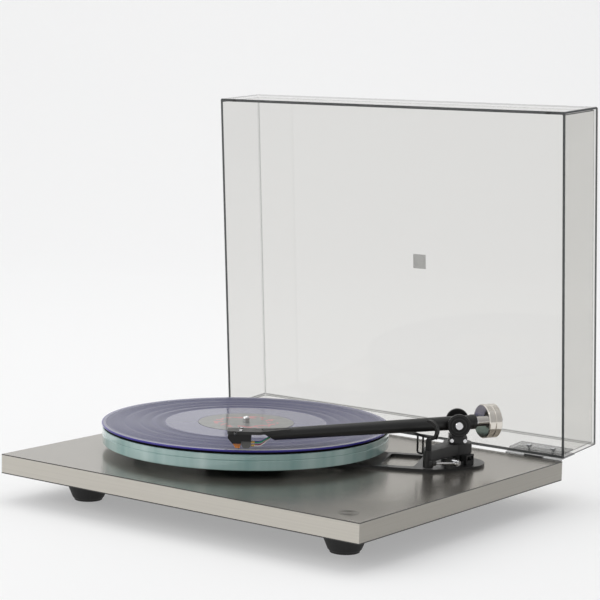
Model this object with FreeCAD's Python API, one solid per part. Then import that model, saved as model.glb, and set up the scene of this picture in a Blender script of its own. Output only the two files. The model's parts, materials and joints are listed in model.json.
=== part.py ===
import FreeCAD, Part
import math
import os

# Belt-driven turntable with a glass platter, a straight arm and a clear lid.
# Millimetres, +X right, +Y back, +Z up. Everything is first laid out about the
# centre of the plinth, with Z = 0 at the soles of the feet.

# ---- driving dimensions -----------------------------------------------------
WIDTH = 448.0
DEPTH = 365.0
PLINTH_T = 20.0
FOOT_H = 28.5
SKIN_T = 1.0
TRIM_T = 1.2
BRACE_T = 3.0

FOOT_IN_X = 61.0
FOOT_IN_Y = 64.6
FOOT_TOP_R = 26.0
FOOT_SOLE_R = 14.7
FOOT_SCREW_R = 2.0

SPINDLE_XY = (-56.5, 8.0)
SPINDLE_R = 3.6
SHANK_R = 3.4
SPINDLE_RISE = 6.3
SHAFT_R = 5.0
BEARING_R = 12.0
BEARING_FLANGE_R = 20.0
BALL_R = 3.0
RUN_FIT = 0.04
GAP = 0.5

PLATTER_R = 150.0
DISC_T = 6.0
RING_T = 10.0
RING_IN_R = 118.0
GLASS_RISE = 8.5
MAT_R = 148.5
MAT_T = 2.5
RECORD_R = 150.8
RECORD_T = 2.0
LABEL_R = 50.0
LABEL_T = 0.25

BELT_PITCH_R = 47.5
DRIVE_RATIO = 7.5
BELT_R = 1.1
GROOVE_R = 1.4
MOTOR_REACH = 87.7
MOTOR_ANGLE = 135.0
MOTOR_R = 24.0
MOTOR_H = 34.0
MOTOR_SHAFT_R = 1.5
MOUNT_T = 3.0

PIVOT_XY = (151.0, 94.0)
ARM_RISE = 43.5
ARM_LENGTH = 238.7
STYLUS_ANGLE = -120.9
TUBE_ANGLE = -118.9
HEAD_ANGLE = -144.4
TUBE_R = 7.2
TUBE_END_R = 5.8
TUBE_WALL = 1.0
TUBE_REAR = 18.5
STUB_R = 5.0
STUB_END = 50.0
WEIGHT_R = 17.5
WEIGHT_FRONT = 27.4
WEIGHT_LEN = 15.0
DIAL_R = 11.7
DIAL_T = 4.0
PILLAR_R = 9.0
SPIGOT_R = 4.0
AXLE_R = 1.5
PARK_ANGLE = -86.5
CLIP_REACH = 60.0
CLIP_IN_R = TUBE_R + 0.8
CLIP_OUT_R = CLIP_IN_R + 2.6
CLIP_RISE = 0.9
CLIP_W = 5.0

POST_XY = (147.0, 46.0)
POST_R = 5.3
STEM_R = 2.0
LIFT_BAR_R = 1.4
LIFT_GAP = 0.4
LEVER_XYZ = (169.5, 61.3, 9.5)
LEVER_LEN = 38.0
LEVER_RISE = 5.2

LID_W = 447.0
LID_D = 360.0
LID_H = 69.0
LID_WALL = 3.0
LID_ROUND = 2.0
LID_GAP = 0.8
LID_OPEN = 86.0
PIN_BACK = 2.8
PIN_DROP = 1.0
PIN_R = 1.0
KNUCKLE_R = 2.4
HINGE_X = 188.0
HINGE_W = 66.0
HINGE_SCREW_GAP = 29.0
HINGE_SCREW_UP = 16.0
LEAF_T = 1.5
LEAF_H = 27.0

INLET_X = -120.0
INLET_BORE_R = 2.75
GLAND_X = 60.0
GLAND_BORE_R = 3.0
SWITCH_IN_X = 34.0
SWITCH_IN_Y = 32.5

# ---- levels worked out from them -------------------------------------------
DECK = FOOT_H + PLINTH_T
BRACE_TOP = DECK + BRACE_T
GLASS_Z = DECK + GLASS_RISE
DISC_Z = GLASS_Z + RING_T
MAT_Z = DISC_Z + DISC_T
RECORD_Z = MAT_Z + MAT_T
RECORD_TOP = RECORD_Z + RECORD_T
ARM_Z = DECK + ARM_RISE
REAR = DEPTH / 2
FRONT = -DEPTH / 2
PIN_Y = REAR + PIN_BACK
PIN_Z = DECK - PIN_DROP
BELT_Z = DECK + 6.5
POST_TOP = DECK + 24.0
PILLAR_TOP = DECK + 24.0
YOKE_Z = PILLAR_TOP + GAP


def vec(x, y, z):
    return FreeCAD.Vector(x, y, z)


def polar(centre, reach, degrees):
    a = math.radians(degrees)
    return (centre[0] + reach * math.cos(a), centre[1] + reach * math.sin(a))


# The outer corner of the raised lid reaches furthest back, and the box of the
# whole object is centred on the origin by moving everything forward.
OPEN = math.radians(LID_OPEN)
LID_REACH = ((LID_H + LID_GAP + PIN_DROP - LID_ROUND) * math.sin(OPEN)
             - (PIN_BACK + LID_ROUND) * math.cos(OPEN) + LID_ROUND)
Y_SHIFT = (PIN_Y + LID_REACH + FRONT) / 2

MOTOR_XY = polar(SPINDLE_XY, MOTOR_REACH, MOTOR_ANGLE)
STYLUS_XY = polar(PIVOT_XY, ARM_LENGTH, STYLUS_ANGLE)
CLIP_XY = polar(PIVOT_XY, CLIP_REACH, PARK_ANGLE)
AXLE_ANGLE = HEAD_ANGLE + 90
FEET_XY = {"foot_front_left": (FOOT_IN_X - WIDTH / 2, FRONT + FOOT_IN_Y),
           "foot_front_right": (WIDTH / 2 - FOOT_IN_X, FRONT + FOOT_IN_Y),
           "foot_rear": (0.0, REAR - FOOT_IN_Y)}
SWITCH_XY = (SWITCH_IN_X - WIDTH / 2, FRONT + SWITCH_IN_Y)


# ---- shape helpers ----------------------------------------------------------
def cyl(r, z0, z1, at=(0, 0)):
    return Part.makeCylinder(r, z1 - z0, vec(at[0], at[1], z0))


def cone(r0, r1, z0, z1, at=(0, 0)):
    return Part.makeCone(r0, r1, z1 - z0, vec(at[0], at[1], z0))


def tube(r_out, r_in, z0, z1, at=(0, 0)):
    return cyl(r_out, z0, z1, at).cut(cyl(r_in, z0, z1, at))


def box(x0, x1, y0, y1, z0, z1):
    return Part.makeBox(x1 - x0, y1 - y0, z1 - z0, vec(x0, y0, z0))


def rod(start, end, r):
    a = vec(*start)
    along = vec(*end) - a
    return Part.makeCylinder(r, along.Length, a, along)


def union(shapes):
    whole = shapes[0]
    for shape in shapes[1:]:
        whole = whole.fuse(shape)
    return whole.removeSplitter()


def group(shapes):
    return Part.makeCompound(shapes)


def lathe(profile, at=(0, 0)):
    """Turn (radius, height) points about a vertical axis."""
    points = [vec(r, 0, z) for r, z in profile]
    face = Part.Face(Part.makePolygon(points + [points[0]]))
    solid = face.revolve(vec(0, 0, 0), vec(0, 0, 1), 360)
    if solid.Volume < 0:
        solid.reverse()
    solid.translate(vec(at[0], at[1], 0))
    return solid


def prism_xz(points, y0, y1):
    """Push an outline of (x, z) points along Y."""
    corners = [vec(x, y0, z) for x, z in points]
    face = Part.Face(Part.makePolygon(corners + [corners[0]]))
    return face.extrude(vec(0, y1 - y0, 0))


def hull_wire(circles, z):
    """Outline round (x, y, r) circles, given anticlockwise."""
    joins = []
    count = len(circles)
    for i, (x, y, r) in enumerate(circles):
        x2, y2, r2 = circles[(i + 1) % count]
        reach = math.hypot(x2 - x, y2 - y)
        dx, dy = (x2 - x) / reach, (y2 - y) / reach
        lean = (r - r2) / reach
        side = math.sqrt(1 - lean * lean)
        joins.append(math.atan2(dy * lean - dx * side, dx * lean + dy * side))
    edges = []
    for i, (x, y, r) in enumerate(circles):
        a_in, a_out = joins[i - 1], joins[i]
        while a_out < a_in:
            a_out += 2 * math.pi
        on = [vec(x + r * math.cos(a), y + r * math.sin(a), z)
              for a in (a_in, (a_in + a_out) / 2, a_out)]
        edges.append(Part.Arc(*on).toShape())
        x2, y2, r2 = circles[(i + 1) % count]
        end = vec(x2 + r2 * math.cos(a_out), y2 + r2 * math.sin(a_out), z)
        edges.append(Part.LineSegment(on[2], end).toShape())
    return Part.Wire(edges)


def hull(circles, z0, z1):
    return Part.Face(hull_wire(circles, z0)).extrude(vec(0, 0, z1 - z0))


def bent_rod(points, r, bend):
    """A round rod through points, its corners turned on arcs of radius bend."""
    spots = [vec(*p) for p in points]
    edges = []
    start = spots[0]
    for before, here, after in zip(spots, spots[1:], spots[2:]):
        u = (before - here).normalize()
        w = (after - here).normalize()
        half = math.acos(max(-1, min(1, u.dot(w)))) / 2
        cut = bend / math.tan(half)
        middle = (u + w).normalize()
        top = here + middle * (bend / math.sin(half) - bend)
        first, last = here + u * cut, here + w * cut
        edges.append(Part.LineSegment(start, first).toShape())
        edges.append(Part.Arc(first, top, last).toShape())
        start = last
    edges.append(Part.LineSegment(start, spots[-1]).toShape())
    path = Part.Wire(edges)
    ring = Part.makeCircle(r, spots[0], spots[1] - spots[0])
    return path.makePipeShell([Part.Wire(ring)], True, True)


def screw(head_r, head_t, shank_r, shank_len, slot=0.0):
    """A screw standing on z = 0, head up, with a slot across it if wanted."""
    edge = head_t * 0.25
    head = lathe([(0, 0), (head_r, 0), (head_r, head_t - edge), (head_r - edge, head_t), (0, head_t)])
    if slot:
        head = head.cut(box(-head_r, head_r, -slot / 2, slot / 2, head_t * 0.55, head_t))
    return union([head, cyl(shank_r, -shank_len, 0)])


def turned(shape, degrees, at, z=0.0):
    """Turn a shape built at the origin about Z, and set it down at a place."""
    shape.rotate(vec(0, 0, 0), vec(0, 0, 1), degrees)
    shape.translate(vec(at[0], at[1], z))
    return shape


def facing_x(shape):
    """Lay a shape that stands along +Z down along +X."""
    shape.rotate(vec(0, 0, 0), vec(0, 1, 0), 90)
    return shape


def from_hub(along, forward):
    """A place on the deck: along the line from spindle to arm pivot, and to
    the front of it."""
    line = math.atan2(PIVOT_XY[1] - SPINDLE_XY[1], PIVOT_XY[0] - SPINDLE_XY[0])
    return (SPINDLE_XY[0] + along * math.cos(line) + forward * math.sin(line),
            SPINDLE_XY[1] + along * math.sin(line) - forward * math.cos(line))


PIVOT_REACH = math.hypot(PIVOT_XY[0] - SPINDLE_XY[0], PIVOT_XY[1] - SPINDLE_XY[1])


# ---- plinth -----------------------------------------------------------------
INLET_R = 5.5
INLET_DEPTH = 12.0
GLAND_R = 5.0
GLAND_DEPTH = 14.0
BOARD_BOX = (-178.0, -122.0, -62.0, -26.0)
BOARD_ROOM = 12.0
ROCKER_R = 9.0
ROCKER_W = 10.0
ROCKER_Z = FOOT_H + 6.0
COVER_R = 30.0
COVER_FLANGE_R = 36.0
COVER_SCREW_RING = 33.0
COVER_SCREW_R = 1.5
SMALL_SCREW_R = 1.5
PORT_Z = FOOT_H + PLINTH_T / 2


def cover_screw_spots():
    return [polar(MOTOR_XY, COVER_SCREW_RING, a) for a in (90, 210, 330)]


def bracket_screw_spots():
    half = HINGE_SCREW_GAP / 2
    return [(side * HINGE_X + off, PIN_Z - 10.0) for side in (-1, 1) for off in (-half, half)]


def plinth_cuts():
    """Everything that passes into or through the plinth."""
    cuts = [cyl(BEARING_R, 0, DECK, SPINDLE_XY), cyl(PILLAR_R, 0, DECK, PIVOT_XY)]
    cuts.append(cyl(MOTOR_R + MOUNT_T, 0, DECK - SKIN_T, MOTOR_XY))
    cuts.append(cyl(6.5, 0, DECK, MOTOR_XY))
    for spot in FEET_XY.values():
        cuts.append(cyl(FOOT_SCREW_R, 0, DECK - 4.5, spot))
    for spot in cover_screw_spots():
        cuts.append(cyl(COVER_SCREW_R, 0, DECK - 10, spot))
    cuts.append(rod((INLET_X, REAR - INLET_DEPTH, PORT_Z), (INLET_X, REAR, PORT_Z), INLET_R))
    cuts.append(rod((GLAND_X, REAR - GLAND_DEPTH, PORT_Z), (GLAND_X, REAR, PORT_Z), GLAND_R))
    for x, z in bracket_screw_spots():
        cuts.append(rod((x, REAR - 12, z), (x, REAR, z), SMALL_SCREW_R))
    sx, sy = SWITCH_XY
    side = ROCKER_W / 2 + GAP
    reach = ROCKER_R + GAP
    cuts.append(box(sx - side, sx + side, sy - reach, sy + reach, 0, ROCKER_Z + 6))
    cuts.append(rod((sx - side - 4, sy, ROCKER_Z), (sx + side + 4, sy, ROCKER_Z), 1 + RUN_FIT))
    return cuts


def plinth():
    cuts = plinth_cuts()
    low, high = FOOT_H + SKIN_T, DECK - SKIN_T
    half_w, half_d = WIDTH / 2, DEPTH / 2
    core = box(-half_w + TRIM_T, half_w - TRIM_T, -half_d + TRIM_T, half_d - TRIM_T, low, high)
    x0, x1, y0, y1 = BOARD_BOX
    core = core.cut(box(x0, x1, y0, y1, low, low + BOARD_ROOM))
    top = box(-half_w, half_w, -half_d, half_d, high, DECK)
    bottom = box(-half_w, half_w, -half_d, half_d, FOOT_H, low)
    inner = half_d - TRIM_T
    trims = [box(-half_w, half_w, -half_d, -inner, low, high),
             box(-half_w, half_w, inner, half_d, low, high),
             box(-half_w, -half_w + TRIM_T, -inner, inner, low, high),
             box(half_w - TRIM_T, half_w, -inner, inner, low, high)]
    trims[1] = trims[1].cut(cuts)
    return {"plinth_core": core.cut(cuts), "plinth_top_skin": top.cut(cuts),
            "plinth_bottom_skin": bottom.cut(cuts), "plinth_edge_trim": group(trims)}


def brace(z0, z1, hub_hole):
    """A stiff plate between the main bearing and the arm, with a window."""
    edge = 50.0
    corner, pad, hub_r = 12.0, 28.0, 35.0
    hub = from_hub(0, edge - hub_r)
    front = from_hub(PIVOT_REACH - 22, edge - corner)
    plate = hull([(*hub, hub_r), (*front, corner), (*PIVOT_XY, pad)], z0, z1)
    strut, near, far, turn = 10.0, 153.0, 187.0, 5.0
    back = edge - 2 * hub_r + 2
    spots = [(near + turn, edge - strut - turn), (far - turn, edge - strut - turn),
             (far - turn, back + turn), (near + turn, back + turn)]
    window = hull([(*from_hub(*spot), turn) for spot in spots], z0, z1)
    return plate.cut([window, cyl(hub_hole, z0, z1, SPINDLE_XY), cyl(PILLAR_R, z0, z1, PIVOT_XY)])


def foot(at):
    """A rubber cone, screwed on from below, wide side up."""
    profile = [(FOOT_SCREW_R, FOOT_H), (FOOT_TOP_R, FOOT_H), (FOOT_TOP_R, FOOT_H - 2),
               (FOOT_SOLE_R + 1.5, 3), (FOOT_SOLE_R, 1.5),
               (FOOT_SOLE_R - 0.5, 0), (6, 0), (6, 12), (FOOT_SCREW_R, 12)]
    return lathe(profile, at)


def underside():
    screws = []
    for spot in FEET_XY.values():
        one = screw(4.2, 3.0, FOOT_SCREW_R, DECK - 4.5 - 12)
        one.rotate(vec(0, 0, 0), vec(1, 0, 0), 180)
        screws.append(turned(one, 0, spot, 12))
    flange_z = FOOT_H - 2
    for spot in cover_screw_spots():
        one = screw(3.0, 2.2, COVER_SCREW_R, DECK - 10 - flange_z)
        one.rotate(vec(0, 0, 0), vec(1, 0, 0), 180)
        screws.append(turned(one, 0, spot, flange_z))
    return group(screws)


def switch():
    sx, sy = SWITCH_XY
    w = ROCKER_W / 2
    wheel = rod((sx - w, sy, ROCKER_Z), (sx + w, sy, ROCKER_Z), ROCKER_R)
    wheel = wheel.cut(box(sx - w, sx + w, sy - 20, sy + 20, ROCKER_Z + 3, ROCKER_Z + 20))
    dish = rod((sx - w, sy, ROCKER_Z - 28), (sx + w, sy, ROCKER_Z - 28), 20.5)
    pin_end = w + GAP + 4 - 0.3
    pins = rod((sx - pin_end, sy, ROCKER_Z), (sx + pin_end, sy, ROCKER_Z), 1.0)
    return union([wheel.cut(dish), pins])


def ports():
    x, z = INLET_X, PORT_Z
    flange = rod((x, REAR, z), (x, REAR + 1.5, z), INLET_R + 1.5)
    inlet = union([rod((x, REAR - INLET_DEPTH, z), (x, REAR, z), INLET_R), flange])
    inlet = inlet.cut(rod((x, REAR - 7.5, z), (x, REAR + 1.5, z), INLET_BORE_R))
    gx = GLAND_X
    gland = union([rod((gx, REAR - GLAND_DEPTH, z), (gx, REAR, z), GLAND_R),
                   rod((gx, REAR, z), (gx, REAR + 2, z), GLAND_R + 2)])
    gland = gland.cut(rod((gx, REAR - GLAND_DEPTH + 2, z), (gx, REAR + 2, z), GLAND_BORE_R))
    return inlet, gland


def control_board():
    x0, x1, y0, y1 = BOARD_BOX
    roof = FOOT_H + SKIN_T + BOARD_ROOM
    card = box(x0 + 3, x1 - 3, y0 + 3, y1 - 3, roof - 4.6, roof - 3)
    posts = [cyl(2.0, roof - 3, roof, (x, y)) for x in (x0 + 7, x1 - 7) for y in (y0 + 7, y1 - 7)]
    can = cyl(4.0, roof - 11, roof - 4.6, (x0 + 16, y0 + 16))
    chip = box(x1 - 26, x1 - 14, y0 + 12, y0 + 22, roof - 6.6, roof - 4.6)
    return union([card, *posts, can, chip])


# ---- platter and drive ------------------------------------------------------
def bearing():
    seat_z = FOOT_H - 8.0
    barrel = union([cyl(BEARING_R, seat_z - 6, DECK, SPINDLE_XY),
                    cyl(BEARING_FLANGE_R, DECK, BRACE_TOP, SPINDLE_XY)])
    well = cyl(SHAFT_R + RUN_FIT, seat_z, BRACE_TOP, SPINDLE_XY)
    ball = Part.makeSphere(BALL_R, vec(*SPINDLE_XY, seat_z))
    shaft_foot = seat_z + BALL_R + 0.02
    tip = RECORD_TOP + SPINDLE_RISE
    profile = [(0, shaft_foot), (SHAFT_R - 0.8, shaft_foot), (SHAFT_R, shaft_foot + 0.8),
               (SHAFT_R, DISC_Z), (SHANK_R, DISC_Z), (SHANK_R, RECORD_TOP + 0.2),
               (SPINDLE_R, RECORD_TOP + 0.2), (SPINDLE_R, tip - 2),
               (SPINDLE_R - 0.6, tip - 0.8), (SPINDLE_R - 1.8, tip), (0, tip)]
    return barrel.cut([well, ball]), ball, lathe(profile, SPINDLE_XY)


def sub_platter():
    rim_r = BELT_PITCH_R + GAP
    rim_low, rim_high = BRACE_TOP + GAP, BRACE_TOP + GAP + 6
    profile = [(SHAFT_R, rim_low), (rim_r, rim_low), (rim_r, rim_high), (rim_r - 6, rim_high + 1),
               (rim_r - 6, DISC_Z), (34, DISC_Z), (34, DISC_Z - 7), (14, DISC_Z - 7),
               (14, DISC_Z), (SHAFT_R, DISC_Z)]
    wheel = lathe(profile, SPINDLE_XY)
    return wheel.cut(Part.makeTorus(BELT_PITCH_R, GROOVE_R, vec(*SPINDLE_XY, BELT_Z)))


def platter():
    hole = SPINDLE_R + 0.05
    disc = cyl(PLATTER_R, DISC_Z, MAT_Z, SPINDLE_XY)
    edges = [e for e in disc.Edges if e.Closed]
    disc = disc.makeChamfer(0.6, edges).cut(cyl(hole, DISC_Z, MAT_Z, SPINDLE_XY))
    ring = cyl(PLATTER_R, GLASS_Z, DISC_Z, SPINDLE_XY)
    ring = ring.makeChamfer(0.6, [e for e in ring.Edges if e.Closed])
    ring = ring.cut(cyl(RING_IN_R, GLASS_Z, DISC_Z, SPINDLE_XY))
    mat = tube(MAT_R, hole + 1, MAT_Z, RECORD_Z, SPINDLE_XY)
    edge = 0.6
    profile = [(hole, RECORD_Z), (RECORD_R - edge, RECORD_Z), (RECORD_R, RECORD_Z + edge),
               (RECORD_R, RECORD_TOP - edge), (RECORD_R - edge, RECORD_TOP),
               (LABEL_R, RECORD_TOP), (LABEL_R, RECORD_TOP - LABEL_T), (hole, RECORD_TOP - LABEL_T)]
    label = tube(LABEL_R, hole, RECORD_TOP - LABEL_T, RECORD_TOP, SPINDLE_XY)
    return {"platter_disc": disc, "platter_ring": ring, "felt_mat": mat,
            "record": lathe(profile, SPINDLE_XY), "record_label": label}


def motor():
    top = DECK - 4.0
    boss_top = top + 1.5
    body = union([cyl(MOTOR_R, top - MOTOR_H, top, MOTOR_XY), cyl(6.0, top, boss_top, MOTOR_XY)])
    body = body.cut(cyl(MOTOR_SHAFT_R + RUN_FIT, top - 14, boss_top, MOTOR_XY))
    mount = tube(MOTOR_R + MOUNT_T, MOTOR_R, top - 8, top - 1, MOTOR_XY)
    wall = 2.0
    floor = top - MOTOR_H - 2.0
    cup = union([cyl(COVER_R, floor - wall, FOOT_H, MOTOR_XY),
                 cyl(COVER_FLANGE_R, FOOT_H - 2, FOOT_H, MOTOR_XY)])
    cup = cup.cut([cyl(COVER_R - wall, floor, FOOT_H, MOTOR_XY)]
                  + [cyl(COVER_SCREW_R, 0, FOOT_H, spot) for spot in cover_screw_spots()])
    pitch = BELT_PITCH_R / DRIVE_RATIO
    low, high = BELT_Z - 3, BELT_Z + 3
    wheel = union([cyl(pitch + 0.7, low, high, MOTOR_XY), cyl(4.0, boss_top + GAP, low, MOTOR_XY)])
    wheel = wheel.cut(Part.makeTorus(pitch, GROOVE_R, vec(*MOTOR_XY, BELT_Z)))
    wheel = union([wheel, cyl(MOTOR_SHAFT_R, top - 12, high + 1, MOTOR_XY)])
    return {"motor_body": body, "motor_mount": mount, "motor_cover": cup, "motor_pulley": wheel}


def drive_belt():
    loop = hull_wire([(*SPINDLE_XY, BELT_PITCH_R), (*MOTOR_XY, BELT_PITCH_R / DRIVE_RATIO)], BELT_Z)
    start = loop.Edges[1].valueAt(loop.Edges[1].FirstParameter)
    ahead = loop.Edges[1].valueAt(loop.Edges[1].LastParameter) - start
    edges = loop.Edges[1:] + loop.Edges[:1]
    ring = Part.Wire(Part.makeCircle(BELT_R, start, ahead))
    return Part.Wire(edges).makePipeShell([ring], True, True)


# ---- arm: what stays on the plinth ------------------------------------------
def arm_pillar():
    low = FOOT_H - BRACE_T - 11
    post = cyl(PILLAR_R, low, PILLAR_TOP, PIVOT_XY)
    return post.cut(cyl(SPIGOT_R + RUN_FIT, PILLAR_TOP - 18, PILLAR_TOP, PIVOT_XY))


def lock_nut():
    high = FOOT_H - BRACE_T
    corners = [vec(*polar(PIVOT_XY, 16.0, 60 * i), high - 8) for i in range(6)]
    hexagon = Part.Face(Part.makePolygon(corners + [corners[0]])).extrude(vec(0, 0, 8))
    return hexagon.cut(cyl(PILLAR_R, high - 8, high, PIVOT_XY))


LUG_RIGHT = LEVER_XYZ[0] - 3.3
LEVER_HUB_R = 3.3
LEVER_PIN_R = 1.6
LOBE_R = 14.5
STEP_R = 16.5
STEP_H = 4.5
COLUMN_R = 10.6
CASTING_LOW = DECK + 13
BIAS_BOX = (162.5, 168.5, 84.0, 98.0)
BIAS_SLOT = (3.0, 11.0)


def arm_base():
    low = BRACE_TOP
    px, py = PIVOT_XY
    lx, ly, lz = LEVER_XYZ
    pieces = [cyl(STEP_R, low, low + STEP_H, PIVOT_XY), cyl(COLUMN_R, low, CASTING_LOW, PIVOT_XY),
              cyl(LOBE_R, CASTING_LOW, PILLAR_TOP, PIVOT_XY),
              hull([(px, py, 9.0), (*POST_XY, POST_R), (*CLIP_XY, 4.2)], CASTING_LOW, POST_TOP),
              cyl(POST_R, DECK + 4, POST_TOP, POST_XY),
              box(LUG_RIGHT - 6, LUG_RIGHT, ly - 5, ly + 5, low, DECK + 13),
              box(LUG_RIGHT - 6, LUG_RIGHT, ly, BIAS_BOX[2] + 2, low, low + STEP_H)]
    x0, x1, y0, y1 = BIAS_BOX
    pieces.append(box(x0, x1, y0, y1, low, CASTING_LOW))
    body = union(pieces)
    mid, (deep, long) = (y0 + y1) / 2, BIAS_SLOT
    slot = box(x1 - deep, x1, mid - long / 2, mid + long / 2, DECK + 7, DECK + 11)
    stem_hole = cyl(STEM_R + RUN_FIT, DECK + 8, POST_TOP, POST_XY)
    pin_hole = rod((LUG_RIGHT - 5, ly, DECK + lz), (LUG_RIGHT, ly, DECK + lz), LEVER_PIN_R)
    return body.cut([slot, stem_hole, pin_hole, cyl(PILLAR_R, low, PILLAR_TOP, PIVOT_XY)])


def bias_slider():
    """A shoe in the slot, with a tab to push it by."""
    x1, mid = BIAS_BOX[1], (BIAS_BOX[2] + BIAS_BOX[3]) / 2
    shoe = box(x1 - BIAS_SLOT[0] + GAP, x1, mid - 2.2, mid + 2.2, DECK + 7.3, DECK + 10.7)
    tab = box(x1, x1 + 2, mid - 1, mid + 1, DECK + 8, DECK + 10)
    return union([shoe, tab])


def rest_clip():
    """Half of a ring, open towards the platter, on a short leg."""
    ring = tube(CLIP_OUT_R, CLIP_IN_R, 0, CLIP_W)
    ring = ring.common(box(-CLIP_OUT_R, CLIP_OUT_R, 0, CLIP_OUT_R, 0, CLIP_W))
    mid_r = (CLIP_OUT_R + CLIP_IN_R) / 2
    tips = [cyl((CLIP_OUT_R - CLIP_IN_R) / 2, 0, CLIP_W, (x, 0)) for x in (-mid_r, mid_r)]
    ring = union([ring, *tips])
    ring.translate(vec(0, 0, -CLIP_W / 2))
    ring.rotate(vec(0, 0, 0), vec(0, 1, 0), 90)
    leg = cyl(3.0, POST_TOP - ARM_Z - CLIP_RISE, -CLIP_OUT_R + 1.2)
    return turned(union([ring, leg]), PARK_ANGLE, CLIP_XY, ARM_Z + CLIP_RISE)


def lift():
    """The curved rail that raises the arm, on a stem that slides in the post."""
    reach = math.hypot(POST_XY[0] - PIVOT_XY[0], POST_XY[1] - PIVOT_XY[1])
    tube_low = ARM_Z - (TUBE_R - (TUBE_R - TUBE_END_R) * reach / 205)
    bar_z = tube_low - LIFT_GAP - LIFT_BAR_R
    spots = [vec(*polar(PIVOT_XY, reach, a), bar_z) for a in (-146, -115, -84)]
    rail_path = Part.Wire(Part.Arc(*spots).toShape())
    ahead = vec(*polar((0, 0), 1, -146 + 90), 0)
    rail = rail_path.makePipeShell([Part.Wire(Part.makeCircle(LIFT_BAR_R, spots[0], ahead))], True, True)
    ends = [Part.makeSphere(LIFT_BAR_R, spot) for spot in (spots[0], spots[2])]
    leg_a, leg_b = polar(PIVOT_XY, reach, -114.5), polar(PIVOT_XY, reach, -104)
    foot_z = DECK + 16.5
    loop = bent_rod([(*leg_a, bar_z), (*leg_a, foot_z), (*leg_b, foot_z), (*leg_b, bar_z)], 1.0, 2.0)
    stem = cyl(STEM_R, DECK + 12, bar_z, POST_XY)
    return union([rail, *ends, loop, stem])


def lever():
    x, y, z = LEVER_XYZ
    z += DECK
    w = 3.0
    hub = rod((x - w, y, z), (x + w, y, z), LEVER_HUB_R)
    stick = rod((x, y - 3, z), (x, y - LEVER_LEN, z + LEVER_RISE), 1.25)
    arm = union([hub, stick]).cut(rod((x - w, y, z), (x + w, y, z), LEVER_PIN_R + RUN_FIT))
    grow = 8.0 / LEVER_LEN
    end = (x, y - LEVER_LEN, z + LEVER_RISE)
    tip = rod(end, (x, end[1] - LEVER_LEN * grow, end[2] + LEVER_RISE * grow), 2.6)
    tip = tip.makeFillet(0.8, [e for e in tip.Edges if e.Closed])
    head = facing_x(screw(2.7, 1.6, LEVER_PIN_R, 2 * w + 5 + GAP, 0.8))
    head.translate(vec(x + w + 0.2, y, z))
    return arm, tip, head


# ---- arm: the turning yoke ---------------------------------------------------
AXLE_IN = TUBE_R + 3.8
YOKE_HALF = TUBE_R + 7.2
BOSS_R = 6.0
BOSS_OUT = YOKE_HALF + 2.5
DIAL_IN = YOKE_HALF + 0.3


def yoke():
    top = YOKE_Z + 6
    base = box(-YOKE_HALF, YOKE_HALF, -9, 9, YOKE_Z, top)
    base = base.makeFillet(3, [e for e in base.Edges if abs(e.Vertexes[0].Z - e.Vertexes[-1].Z) > 1])
    pieces = [base, cyl(SPIGOT_R, PILLAR_TOP - 16, YOKE_Z)]
    for side in (-1, 1):
        x0, x1 = sorted((side * AXLE_IN, side * YOKE_HALF))
        pieces.append(box(x0, x1, -5, 5, top, ARM_Z))
        pieces.append(rod((x0, 0, ARM_Z), (x1, 0, ARM_Z), 5))
    pieces.append(rod((YOKE_HALF, 0, ARM_Z), (BOSS_OUT, 0, ARM_Z), BOSS_R))
    body = union(pieces)
    seat_out = YOKE_HALF - 0.4
    cuts = [rod((-seat_out, 0, ARM_Z), (seat_out, 0, ARM_Z), AXLE_R + RUN_FIT),
            rod((YOKE_HALF, 0, ARM_Z), (BOSS_OUT, 0, ARM_Z), 1.2)]
    screws = []
    for y in (-6.65, 6.65):
        one = facing_x(screw(2.1, 1.0, 1.0, 8.0, 0.6))
        one.translate(vec(YOKE_HALF, y, YOKE_Z + 2.9))
        cuts.append(rod((YOKE_HALF - 8, y, YOKE_Z + 2.9), (YOKE_HALF, y, YOKE_Z + 2.9), 1.0))
        screws.append(one)
    centre = facing_x(screw(3.9, 1.5, 1.2, DIAL_IN + DIAL_T + 0.3 - YOKE_HALF, 1.0))
    centre.translate(vec(DIAL_IN + DIAL_T + 0.3, 0, ARM_Z))
    screws.append(centre)
    cap = rod((-YOKE_HALF - DIAL_T, 0, ARM_Z), (-YOKE_HALF, 0, ARM_Z), DIAL_R)
    cap = cap.makeFillet(1.0, [cap.Edges[0]])
    nodes = {"bearing_yoke": body.cut(cuts), "yoke_screws": group(screws), "bearing_cap": cap}
    return {name: turned(shape, AXLE_ANGLE, PIVOT_XY) for name, shape in nodes.items()}


def force_dial():
    face = DIAL_IN + DIAL_T
    disc = rod((DIAL_IN, 0, ARM_Z), (face, 0, ARM_Z), DIAL_R)
    disc = disc.makeFillet(0.8, [e for e in disc.Edges if e.Closed])
    cuts = [rod((DIAL_IN, 0, ARM_Z), (BOSS_OUT + 0.3, 0, ARM_Z), BOSS_R + 0.3),
            rod((DIAL_IN, 0, ARM_Z), (face, 0, ARM_Z), 1.2 + RUN_FIT)]
    count = 30
    for i in range(count):
        y, z = polar((0, ARM_Z), DIAL_R + 0.25, 360 * i / count)
        cuts.append(rod((DIAL_IN, y, z), (face, y, z), 0.7))
    return turned(disc.cut(cuts), AXLE_ANGLE, PIVOT_XY)


# ---- arm: the tube and what it carries ---------------------------------------
TUBE_STOP = 205.0
TUBE_TOP_END = 217.0
PLATE_LOW = ARM_Z + 2.0
PLATE_T = 3.0
SCREW_SPACING = 12.7


def in_tube_frame(x, y):
    """A place given from the stylus, along and beside the cartridge, as seen
    along and beside the arm tube from its pivot."""
    turn = math.radians(HEAD_ANGLE - TUBE_ANGLE)
    sx, sy = polar((0, 0), ARM_LENGTH, STYLUS_ANGLE - TUBE_ANGLE)
    return (sx + x * math.cos(turn) - y * math.sin(turn),
            sy + x * math.sin(turn) + y * math.cos(turn))


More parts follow.
